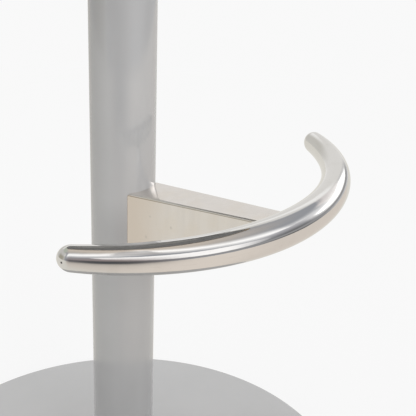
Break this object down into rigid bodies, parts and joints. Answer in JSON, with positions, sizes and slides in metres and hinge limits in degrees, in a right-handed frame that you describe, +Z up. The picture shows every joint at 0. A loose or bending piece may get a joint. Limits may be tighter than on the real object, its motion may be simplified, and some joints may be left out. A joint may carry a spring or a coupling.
{
  "type": "bar stool",
  "caption": "Swivel bar stool with a round base plate, grey column holding a gas lift, polished crescent foot bar on a wedge bracket, round padded seat and a side lever.",
  "frame": {"origin": "on the column's axis, at the floor under the rubber floor ring", "axes": "+Z up the column, -Y towards the foot bar, which is the front, and +X towards the height lever"},
  "size_m": [0.4499, 0.45, 0.6738],
  "materials": {
    "painted_grey": "smooth semi-gloss grey paint",
    "polished_steel": "mirror polished with fine scuffs",
    "satin_steel": "satin sheet with faint marks",
    "bright_rod": "ground and plated",
    "plain_steel": "turned or pressed steel",
    "black_plastic": "fine moulded texture",
    "black_rubber": "matt moulded rubber",
    "plywood": "raw birch plywood",
    "seat_foam": "open foam",
    "charcoal_leather": "fine grain, slight sheen",
    "grey_lining": "grey non-woven lining"
  },
  "bodies": {
    "base": {"base_plate": "painted_grey", "floor_ring": "black_rubber", "base_screws": "plain_steel", "column_foot": "plain_steel", "column_tube": "painted_grey", "column_collar": "bright_rod", "guide_bush": "black_plastic", "rod_seat": "plain_steel", "lower_race": "plain_steel", "thrust_balls": "plain_steel", "foot_bracket": "satin_steel", "foot_bar": "polished_steel"},
    "spindle": {"upper_race": "plain_steel", "bump_stop": "black_rubber", "piston_rod": "bright_rod", "piston": "plain_steel", "rod_clip": "plain_steel"},
    "seat": {"pressure_cylinder": "bright_rod", "rod_gland": "black_plastic", "valve_body": "plain_steel", "seat_socket": "painted_grey", "seat_plate": "painted_grey", "pivot_pin": "plain_steel", "seat_screws": "plain_steel", "t_nuts": "plain_steel", "seat_board": "plywood", "seat_foam": "seat_foam", "cover_top": "charcoal_leather", "cover_side": "charcoal_leather", "seat_piping": "charcoal_leather", "dust_cover": "grey_lining"},
    "lever": {"lever_rod": "bright_rod", "lever_grip": "black_plastic"},
    "button": {"release_pin": "bright_rod"}
  },
  "joints": [
    {"name": "seat_swivel", "type": "hinge", "parent": "base", "child": "spindle", "pos_m": [0, 0, 0.052], "axis": [0, 0, 1], "continuous": true},
    {"name": "seat_lift", "type": "slide", "parent": "spindle", "child": "seat", "axis": [0, 0, 1], "range_m": [0, 0.18]},
    {"name": "lever_lift", "type": "hinge", "parent": "seat", "child": "lever", "pos_m": [0.024, 0, 0.5903], "axis": [0, -1, 0], "range_deg": [0, 7], "stiffness_Nm_per_rad": 0.5, "springref_deg": -17.19},
    {"name": "pin_press", "type": "slide", "parent": "seat", "child": "button", "axis": [0, 0, -1], "range_m": [0, 0.003]}
  ],
  "couplings": [
    {"joint": "pin_press", "follows": "lever_lift", "m_per_rad": 0.024}
  ]
}
